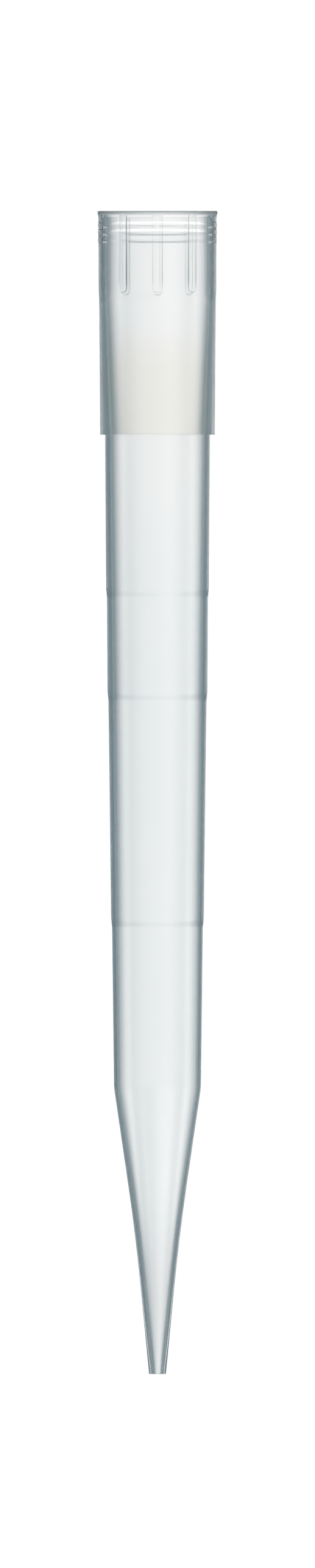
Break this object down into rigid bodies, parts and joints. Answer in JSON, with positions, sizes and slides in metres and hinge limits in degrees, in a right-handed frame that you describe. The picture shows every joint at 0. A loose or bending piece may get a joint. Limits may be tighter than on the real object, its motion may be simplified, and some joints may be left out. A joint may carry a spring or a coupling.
{
  "type": "pipette tip",
  "caption": "Translucent moulded pipette tip: ribbed and beaded collar with a tapered socket, stepped drafted barrel and a fine two-taper point with a 1.1 mm orifice.",
  "frame": {"origin": "centre of the collar's rim, on the face that meets the table when the tip stands on its collar", "axes": "+Z along the tip's axis from the rim to the orifice; one collar rib faces -Y"},
  "size_m": [0.0148, 0.0148, 0.143],
  "materials": {
    "clear_polypropylene": "translucent natural polypropylene, satin smooth, moulded"
  },
  "bodies": {
    "root": {"tip": "clear_polypropylene"}
  },
  "joints": []
}
